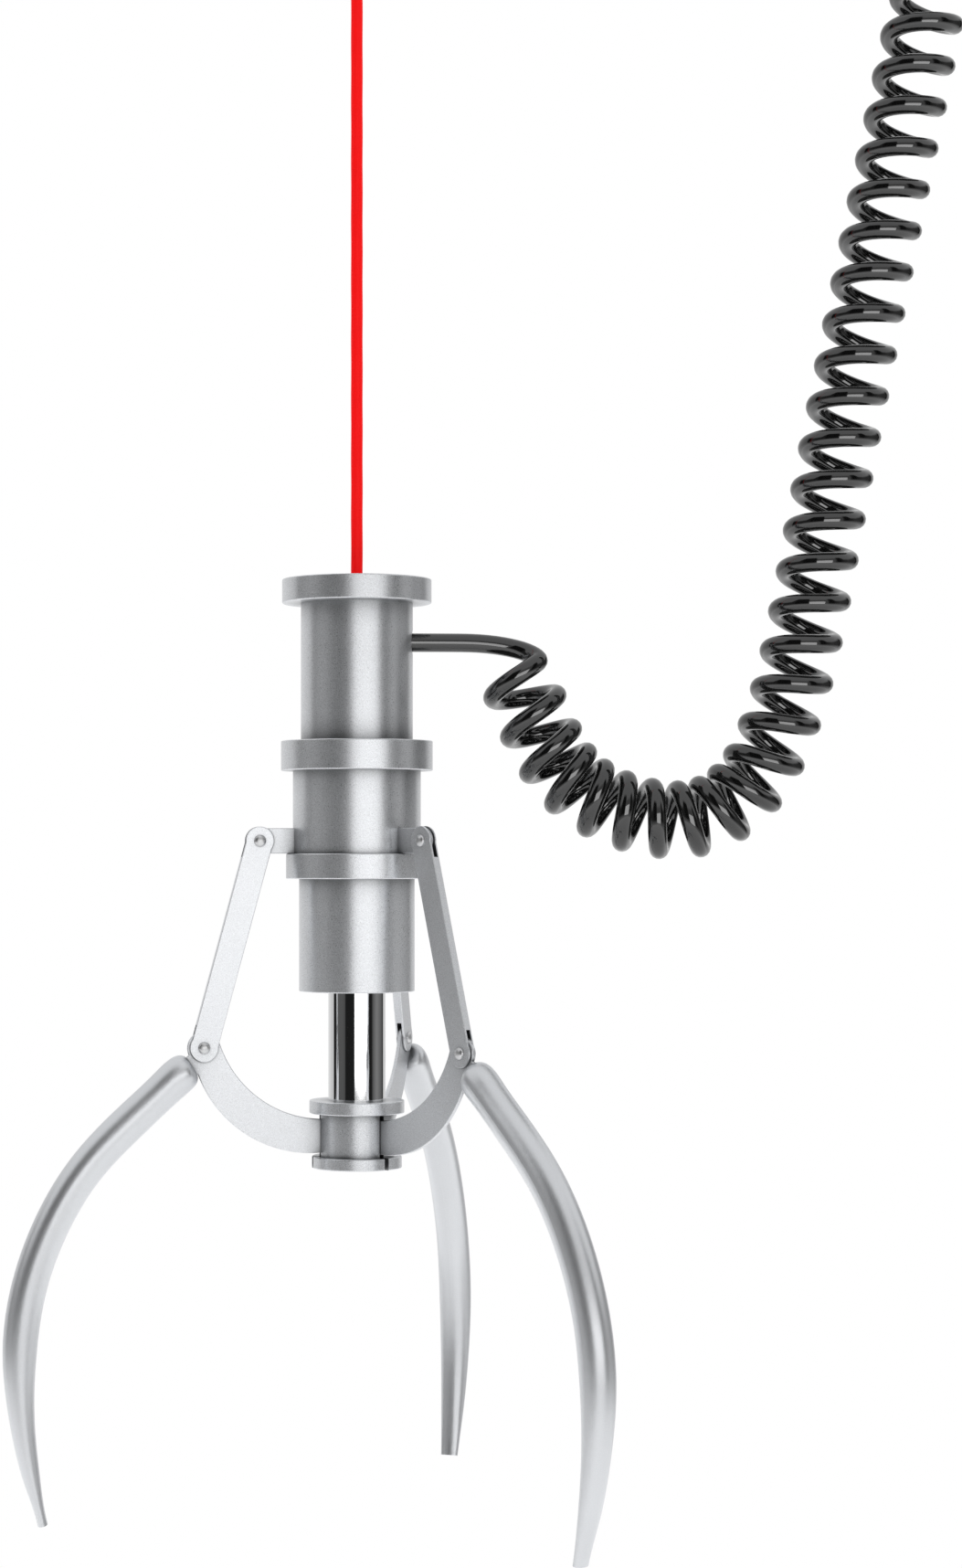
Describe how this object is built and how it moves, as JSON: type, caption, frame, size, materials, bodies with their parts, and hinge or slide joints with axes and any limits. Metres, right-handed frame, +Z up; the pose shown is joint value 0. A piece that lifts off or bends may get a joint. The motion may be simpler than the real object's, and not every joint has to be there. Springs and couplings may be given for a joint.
{
  "type": "pneumatic gripper",
  "caption": "Claw gripper hung from a wire rope: a stepped air cylinder whose rod lifts a hub, so linked curved claws swing inward; a spiral air hose feeds its side.",
  "frame": {"origin": "centre of the bore in the hanger eye at the top of the rope", "axes": "+Z up along the rope and cylinder axis, +X towards the side where the hose leaves the barrel"},
  "size_m": [0.422, 0.2651, 0.719],
  "materials": {
    "satin_aluminium": "satin, fine bead-blasted grain",
    "satin_plate": "satin, fine grain, bright edges",
    "satin_claw": "smooth satin",
    "polished_steel": "semi-polished",
    "chrome_rod": "hard chrome, ground and polished",
    "red_rope": "plastic-coated wire rope, semi-gloss",
    "black_hose": "glossy polyurethane",
    "seal_rubber": "matt",
    "brass": "nickel-plated, semi-gloss"
  },
  "bodies": {
    "root": {"eye_terminal": "polished_steel", "hoist_rope": "red_rope", "rope_ferrule": "polished_steel", "top_cap": "satin_aluminium", "cap_screws": "polished_steel", "cap_seal": "seal_rubber", "upper_tube": "satin_aluminium", "joint_collar": "satin_aluminium", "middle_tube": "satin_aluminium", "lower_collar": "satin_aluminium", "lower_tube": "satin_aluminium", "cylinder_head": "satin_aluminium", "head_seal": "seal_rubber", "vent_tube": "polished_steel", "cylinder_liner": "satin_aluminium", "gland": "satin_aluminium", "rod_bush": "brass", "rod_seal": "seal_rubber", "rod_wiper": "seal_rubber", "gland_seal": "seal_rubber", "gland_clip": "polished_steel", "return_spring": "polished_steel", "hose_socket": "brass", "hose_lead": "black_hose", "hose_coil": "black_hose", "hose_tail": "black_hose", "hose_nipple": "brass", "hose_ferrule": "brass", "link_arm_1": "satin_plate", "link_arm_2": "satin_plate", "link_arm_3": "satin_plate"},
    "crosshead": {"piston": "satin_aluminium", "piston_seal": "seal_rubber", "wear_ring": "seal_rubber", "piston_rod": "chrome_rod", "piston_nut": "polished_steel", "hub": "satin_aluminium", "hub_cap": "satin_aluminium", "hub_screws": "polished_steel", "hub_bolt": "polished_steel", "hub_pins": "polished_steel"},
    "side_link_1": {"link_bar_1": "satin_plate", "link_rivets_1": "polished_steel"},
    "finger_1": {"arm_plate_1": "satin_plate", "claw_1": "satin_claw"},
    "side_link_2": {"link_bar_2": "satin_plate", "link_rivets_2": "polished_steel"},
    "finger_2": {"arm_plate_2": "satin_plate", "claw_2": "satin_claw"},
    "side_link_3": {"link_bar_3": "satin_plate", "link_rivets_3": "polished_steel"},
    "finger_3": {"arm_plate_3": "satin_plate", "claw_3": "satin_claw"}
  },
  "joints": [
    {"name": "rod_slide", "type": "slide", "parent": "root", "child": "crosshead", "axis": [0, 0, 1], "range_m": [0, 0.042], "stiffness_N_per_m": 3800, "springref_m": -0.01, "deforming": ["return_spring"]},
    {"name": "link_swing_1", "type": "hinge", "parent": "root", "child": "side_link_1", "pos_m": [0.02846, -0.0325, -0.4143], "axis": [-0.7524, -0.6587, 0], "range_deg": [0, 7.09]},
    {"name": "finger_swing_1", "type": "hinge", "parent": "side_link_1", "child": "finger_1", "pos_m": [0.04459, -0.05094, -0.5041], "axis": [-0.7524, -0.6587, 0], "range_deg": [-43.05, 0]},
    {"name": "link_swing_2", "type": "hinge", "parent": "root", "child": "side_link_2", "pos_m": [0.01392, 0.0409, -0.4143], "axis": [0.9466, -0.3223, 0], "range_deg": [0, 7.09]},
    {"name": "finger_swing_2", "type": "hinge", "parent": "side_link_2", "child": "finger_2", "pos_m": [0.02182, 0.06409, -0.5041], "axis": [0.9466, -0.3223, 0], "range_deg": [-43.05, 0]},
    {"name": "link_swing_3", "type": "hinge", "parent": "root", "child": "side_link_3", "pos_m": [-0.04238, -0.00839, -0.4143], "axis": [-0.1942, 0.981, 0], "range_deg": [0, 7.09]},
    {"name": "finger_swing_3", "type": "hinge", "parent": "side_link_3", "child": "finger_3", "pos_m": [-0.06641, -0.01315, -0.5041], "axis": [-0.1942, 0.981, 0], "range_deg": [-43.05, 0]}
  ],
  "couplings": [
    {"joint": "link_swing_1", "follows": "rod_slide", "rad_per_m": 2.9273},
    {"joint": "finger_swing_1", "follows": "rod_slide", "rad_per_m": -17.869},
    {"joint": "link_swing_2", "follows": "rod_slide", "rad_per_m": 2.9273},
    {"joint": "finger_swing_2", "follows": "rod_slide", "rad_per_m": -17.869},
    {"joint": "link_swing_3", "follows": "rod_slide", "rad_per_m": 2.9273},
    {"joint": "finger_swing_3", "follows": "rod_slide", "rad_per_m": -17.869}
  ]
}
